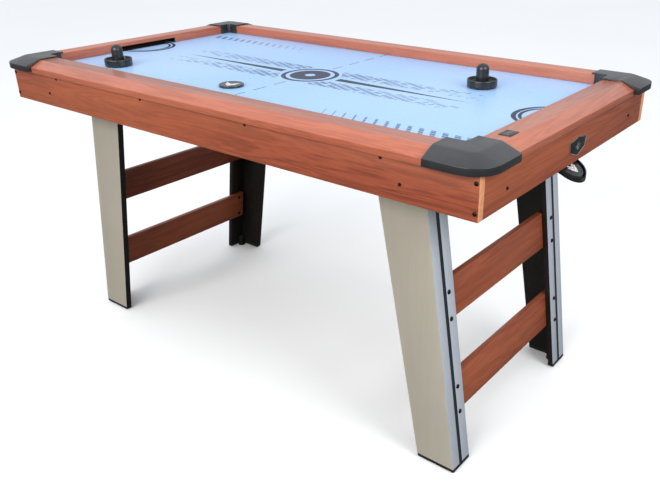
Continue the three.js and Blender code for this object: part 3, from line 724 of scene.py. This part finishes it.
def buildBlower():
    easedCopy("fan_housing", 1.0, (fanPlastic,), segments=2, angle=40)
    easedCopy("fan_grille", 0.5, (fanPlastic,), segments=2, angle=40)
    easedCopy("fan_impeller", 0.3, (fanPlastic,), segments=1, angle=50)
    easedCopy("fan_motor", 0.6, (steel,), segments=2, angle=40)
    easedCopy("fan_motor_bracket", 0.5, (steel,), segments=2)


# Pushers: a felt pad under a cup-shaped base with a rolled rim and a domed grip.
pusher = {"left": (-521, -232), "right": (439, 153), "fieldTop": 793,
          "base": ((0, 1.9), (36.0, 1.9), (37.3, 2.4), (37.9, 3.6), (38.0, 9.0), (38.0, 18.6),
                   (37.7, 20.2), (36.9, 20.9), (35.6, 20.9), (34.8, 20.3), (34.3, 19.0), (33.9, 14.0),
                   (33.0, 12.4), (30.6, 12.0), (29.8, 11.4), (29.2, 8.4), (27.6, 7.0), (21.0, 7.0),
                   (18.4, 7.6), (16.9, 9.0), (16.3, 11.5), (16.0, 16.0), (16.0, 30.0), (16.0, 43.0),
                   (15.7, 46.6), (14.8, 49.8), (13.2, 52.8), (11.0, 55.2), (8.2, 57.2), (4.4, 58.6),
                   (0, 59.0)),
          "pad": ((0, 0.3), (34.2, 0.3), (34.9, 0.7), (35.0, 1.2), (34.6, 1.6), (0, 1.6))}


def buildPushers():
    for end, _ in ends:
        x, y = pusher[end]
        place = (x * mm, y * mm, pusher["fieldTop"] * mm)
        grip = turned(pusher["base"], 64)
        bmesh.ops.translate(grip, vec=place, verts=grip.verts)
        placePiece(f"pusher_grip_{end}", toMesh(grip), (pusherPlastic,), f"pusher_{end}",
                   (f"pusher_{end}",), 60)
        pad = turned(pusher["pad"], 64)
        bmesh.ops.translate(pad, vec=place, verts=pad.verts)
        placePiece(f"felt_pad_{end}", toMesh(pad), (felt,), f"pusher_{end}",
                   (f"pusher_pad_{end}",))


# Pucks: a bevelled disc with a shallow recess and a printed chevron mark. A place is where the
# disc's bottom stands in mm, its tip about Y and the turn of its mark, in degrees.
puckPlaces = (("puck", "table_puck", "puck", {"at": (-75, -214, 793), "tip": 0, "turn": 20}),
              ("puck_in_cup", "cup_puck", "cup_puck", {"at": (753, 0, 688), "tip": 28, "turn": 90}))
puckShape = ((0, 0.3), (30.2, 0.3), (31.0, 0.6), (31.5, 1.3), (31.5, 5.0), (31.1, 5.7), (30.4, 6.0),
             (27.0, 6.0), (26.4, 5.9), (25.9, 5.6), (25.5, 5.5), (0, 5.5))
chevrons = {"half": 20, "drop": 13, "thick": 6.0, "rows": (11, 0, -8), "shrink": (1.0, 0.85, 0.6),
            "sheet": 0.12, "base": 5.52}


def chevronOutline(y, size):
    h, d, t = (chevrons[key] * size for key in ("half", "drop", "thick"))
    return [(-h, y), (t - h, y), (0, y - d), (h - t, y), (h, y), (h * 0.7, y - t * 1.2),
            (0, y - d - t - 1.2), (-h * 0.7, y - t * 1.2)]


def buildPucks():
    for node, name, body, p in puckPlaces:
        place = Matrix.Translation([c * mm for c in p["at"]])
        place = place @ Matrix.Rotation(math.radians(p["tip"]), 4, "Y")
        disc = turned(puckShape, 72)
        bmesh.ops.transform(disc, matrix=place, verts=disc.verts)
        placePiece(f"{name}_disc", toMesh(disc), (puckPlastic,), body, (node,), 50)
        mark = bmesh.new()
        for row, size in zip(chevrons["rows"], chevrons["shrink"]):
            joinTo(mark, plate(chevronOutline(row, size), chevrons["sheet"], 0))
        spin = Matrix.Rotation(math.radians(p["turn"]), 4, "Z")
        lift = Matrix.Translation((0, 0, chevrons["base"] * mm))
        bmesh.ops.transform(mark, matrix=place @ spin @ lift, verts=mark.verts)
        placePiece(f"{name}_mark", toMesh(mark), (puckWhite,), body)


# Badge on the end apron, with a plain sunburst, and a small plate on the end rail.
badge = {"x": 762.3, "y": 6, "z": 739, "thick": 1.9, "rim": 2.0, "sunk": 0.9,
         "ground": {"scale": 0.94, "thick": 1.4, "soften": 0.2}}
sunburst = {"rays": 9, "step": 20, "first": -80, "reach": (12, 15), "start": 6, "half": 0.9, "tip": 0.35,
            "thick": 0.5, "drop": 4, "disc": ((0, 0), (4.2, 0), (4.2, 0.5), (3.8, 0.8), (0, 0.9))}
shieldSide = ((0, 22), (9, 19.6), (20, 17.4), (31, 16.4), (42, 16), (41, 8), (38, -8), (28, -11.6),
              (14, -16.6), (0, -22))


def shieldOutline(scale):
    right = [(x * scale, y * scale) for x, y in shieldSide]
    return right + [(-x, y) for x, y in reversed(right[1:-1])]


def setOnEndApron(bm, lift):  # from flat, +Y up, to the face of the +X apron
    stand = Matrix.Rotation(math.radians(90), 4, "Z") @ Matrix.Rotation(math.radians(90), 4, "X")
    place = Matrix.Translation(((badge["x"] + lift) * mm, badge["y"] * mm, badge["z"] * mm))
    bmesh.ops.transform(bm, matrix=place @ stand, verts=bm.verts)


def buildBadge():
    inner = badge["ground"]
    ground = plate(shieldOutline(inner["scale"]), inner["thick"], inner["soften"])
    setOnEndApron(ground, 0)
    placePiece("badge_ground", toMesh(ground), (badgeGround,), "table")
    rim = plate(shieldOutline(1.0), badge["thick"], 0)
    top = max(rim.faces, key=lambda f: f.calc_center_median().z)
    bmesh.ops.inset_region(rim, faces=[top], thickness=badge["rim"] * mm, use_even_offset=True)
    bmesh.ops.translate(rim, vec=(0, 0, -badge["sunk"] * mm), verts=top.verts)
    setOnEndApron(rim, 0)
    placePiece("badge_rim", toMesh(rim), (badgeSilver,), "table", ("apron_badge",))
    star = bmesh.new()
    half, tip, start = (sunburst[key] for key in ("half", "tip", "start"))
    for index in range(sunburst["rays"]):
        angle = math.radians(sunburst["step"] * index + sunburst["first"])
        reach = sunburst["reach"][index % 2]
        ray = plate([(-half, start), (half, start), (tip, reach), (-tip, reach)], sunburst["thick"], 0)
        bmesh.ops.rotate(ray, cent=(0, 0, 0), matrix=Matrix.Rotation(angle, 3, "Z"), verts=ray.verts)
        joinTo(star, ray)
    joinTo(star, turned(sunburst["disc"], 32))
    bmesh.ops.translate(star, vec=(0, -sunburst["drop"] * mm, 0), verts=star.verts)
    setOnEndApron(star, badge["thick"] - badge["sunk"])
    placePiece("badge_sunburst", toMesh(star), (badgeSilver,), "table")


label = {"soften": 0.3, "bars": 5, "pitch": 5, "half": 0.7, "reach": (5, 2.5), "sunk": 0.2, "proud": 0.1}


def buildLabel():
    low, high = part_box("rail_label")
    bm = bmesh.new()
    box(bm, low, high, label["soften"] * mm)
    placePiece("label_plate", toMesh(bm), (badgeGround,), "table", ("rail_label",))
    bars = bmesh.new()
    middle = (low + high) / 2
    half = label["half"] * mm
    for index in range(label["bars"]):
        y = middle.y + (index - (label["bars"] - 1) / 2) * label["pitch"] * mm
        reach = label["reach"][index % 2] * mm
        box(bars, (middle.x - reach, y - half, high.z - label["sunk"] * mm),
            (middle.x + reach, y + half, high.z + label["proud"] * mm))
    placePiece("label_bars", toMesh(bars), (badgeSilver,), "table")


# Screws: places in mm, and each head's radius and height. The bolts go through a leg's flange and
# the stretcher behind it.
screws = {"sideFace": 414, "endFace": 762, "turn": 0.7,
          "row": {"x": (-547, -182, 182, 547), "z": (783,), "head": (3.6, 1.8)},
          "low": {"x": (-592.5, 592.5), "z": (739,), "head": (3.8, 2.2)},
          "corner": {"x": (-755, 755), "z": (777, 720), "head": (4.4, 2.6)},
          "end": {"y": (-310.5, 310.5), "z": 739, "head": (3.8, 2.2)},
          "bolts": {"y": (-256, 256), "z": (447, 382, 211, 145), "head": (5.6, 3.0), "flange": 15,
                    "proud": 0.3, "stretcher": 15}}


def screwHead(r, h):  # a pan head that faces +Z before it is placed
    return turned([(0, -0.6), (r * 0.96, -0.6), (r, 0), (r * 0.97, h * 0.45), (r * 0.8, h * 0.8),
                   (r * 0.45, h * 0.97), (0, h)], 20)


def crossRecess(radius, height):  # dark cross let into the head
    bm = bmesh.new()
    arm, half, top = radius * 0.55 * mm, radius * 0.11 * mm, (height + 0.04) * mm
    box(bm, (-arm, -half, height * 0.6 * mm), (arm, half, top))
    box(bm, (-half, -arm, height * 0.6 * mm), (half, arm, top))
    return bm


def screwRow(name, places, normal, head):
    bm = bmesh.new()
    aim = Vector(normal).to_track_quat("Z", "Y").to_matrix().to_4x4()
    for index, place in enumerate(places):
        turn = Matrix.Rotation(screws["turn"] * index, 4, "Z")
        stand = Matrix.Translation([c * mm for c in place]) @ aim @ turn
        for maker in (screwHead, crossRecess):
            part = maker(*head)
            bmesh.ops.transform(part, matrix=stand, verts=part.verts)
            joinTo(bm, part)
    placePiece(name, toMesh(bm), (blackSteel,), "table")


def buildScrews():
    for name, sign in sides:
        face = sign * screws["sideFace"]
        for row in ("row", "low", "corner"):
            places = [(x, face, z) for x in screws[row]["x"] for z in screws[row]["z"]]
            screwRow(f"screws_{row}_{name}", places, (0, sign, 0), screws[row]["head"])
    end = screws["end"]
    for name, sign in ends:
        places = [(sign * screws["endFace"], y, end["z"]) for y in end["y"]]
        screwRow(f"screws_end_{name}", places, (sign, 0, 0), end["head"])
    bolts = screws["bolts"]
    lean = math.atan2(leg["outerFloor"] - leg["outerApron"], leg["apron"] - leg["floor"])
    through = bolts["flange"] / math.cos(lean) + bolts["proud"] + bolts["stretcher"]
    for name, sign in ends:
        outward = Vector((sign * math.cos(lean), 0, math.sin(lean)))
        outside = [(sign * legEdge("outer", z), y, z) for z in bolts["z"] for y in bolts["y"]]
        inside = [(x - sign * through, y, z) for x, y, z in outside]
        screwRow(f"leg_bolts_{name}", outside, outward, bolts["head"])
        screwRow(f"stretcher_bolts_{name}", inside, -outward, bolts["head"])


# Floor, light and camera
stage = {"size": 12, "pale": ("f8f8f8", "fcfcfc"), "thrown": "5e5e5d"}
camera = {"place": (1.3339, -1.4584, 1.2224), "yaw": 37.42, "down": 25.89, "roll": -0.22,
          "lens": 39.77, "shift": (-0.0687, 0.0090)}


def buildStage():  # pale to the camera, but it throws little light back up
    bm = bmesh.new()
    bmesh.ops.create_grid(bm, x_segments=1, y_segments=1, size=stage["size"])
    floor = bpy.data.objects.new("floor", toMesh(bm))
    material, tree, shader = startMaterial("paleFloor", Specular_IOR_Level=0.2)
    cloud = noise(tree, objectPlace(tree), 0.8, 3.0)
    pale = mixTones(tree, cloud, *[tone(code) for code in stage["pale"]])
    seen = addNode(tree, "LightPath").outputs["Is Camera Ray"]
    fill(tree, shader.inputs["Base Color"], mixTones(tree, seen, tone(stage["thrown"]), pale))
    fill(tree, shader.inputs["Roughness"], remap(tree, cloud, 0.3, 0.7, 0.8, 0.9))
    floor.data.materials.append(material)
    bpy.context.scene.collection.objects.link(floor)


lighting = {"zenith": "f6faff", "horizon": "acafb2", "zenithFrom": 0.75, "strength": 1.1,
            "keyLight": {"place": (0.1, -3.6, 2.3), "aim": (0, 0, 0.75), "size": (3.0, 1.6),
                         "power": 120, "color": (1.0, 0.98, 0.95)},
            "sideLight": {"place": (3.5, -0.5, 2.4), "aim": (0.6, 0, 0.6), "size": (1.6, 1.6),
                          "power": 60, "color": (1.0, 0.99, 0.97)}}


def addLamp(name):
    given = lighting[name]
    lamp = bpy.data.lights.new(name, "AREA")
    lamp.shape = "RECTANGLE"
    lamp.size, lamp.size_y = given["size"]
    lamp.energy = given["power"]
    lamp.color = given["color"]
    rig = bpy.data.objects.new(name, lamp)
    rig.location = given["place"]
    reach = Vector(given["aim"]) - Vector(given["place"])
    rig.rotation_euler = reach.to_track_quat("-Z", "Y").to_euler()
    bpy.context.scene.collection.objects.link(rig)


def buildLight():
    world = bpy.data.worlds.new("softRoom")
    world.use_nodes = True
    tree = world.node_tree
    background = tree.nodes["Background"]
    direction = addNode(tree, "TexCoord").outputs["Generated"]
    up = addNode(tree, "SeparateXYZ", {0: direction}).outputs["Z"]
    height = remap(tree, up, 0.0, lighting["zenithFrom"])
    sky = mixTones(tree, height, tone(lighting["horizon"]), tone(lighting["zenith"]))
    seen = addNode(tree, "LightPath").outputs["Is Camera Ray"]
    fill(tree, background.inputs["Color"], mixTones(tree, seen, sky, (1, 1, 1, 1)))
    background.inputs["Strength"].default_value = lighting["strength"]
    bpy.context.scene.world = world
    addLamp("keyLight")
    addLamp("sideLight")


def buildCamera():
    lens = bpy.data.cameras.new("viewCamera")
    lens.sensor_width = 36
    lens.lens = camera["lens"]
    lens.shift_x, lens.shift_y = camera["shift"]
    eye = bpy.data.objects.new("viewCamera", lens)
    yaw, down, roll = (math.radians(camera[key]) for key in ("yaw", "down", "roll"))
    eye.matrix_world = (Matrix.Translation(camera["place"]) @ Matrix.Rotation(yaw, 4, "Z")
                        @ Matrix.Rotation(math.pi / 2 - down, 4, "X") @ Matrix.Rotation(roll, 4, "Z"))
    bpy.context.scene.collection.objects.link(eye)
    bpy.context.scene.camera = eye


steps = (("cabinet", (buildAprons, buildRails, buildGoalShadeLiners, buildCaps, buildField)),
         ("legs", (buildLegs, buildStretchers)),
         ("cups, power and blower", (buildCups, buildPower, buildBlower)),
         ("pushers and pucks", (buildPushers, buildPucks)),
         ("badge, label and screws", (buildBadge, buildLabel, buildScrews)),
         ("stage", (buildStage, buildLight, buildCamera)))
for step, builders in steps:
    for builder in builders:
        builder()
    print(step, "built")

bpy.context.scene.view_settings.view_transform = "Standard"
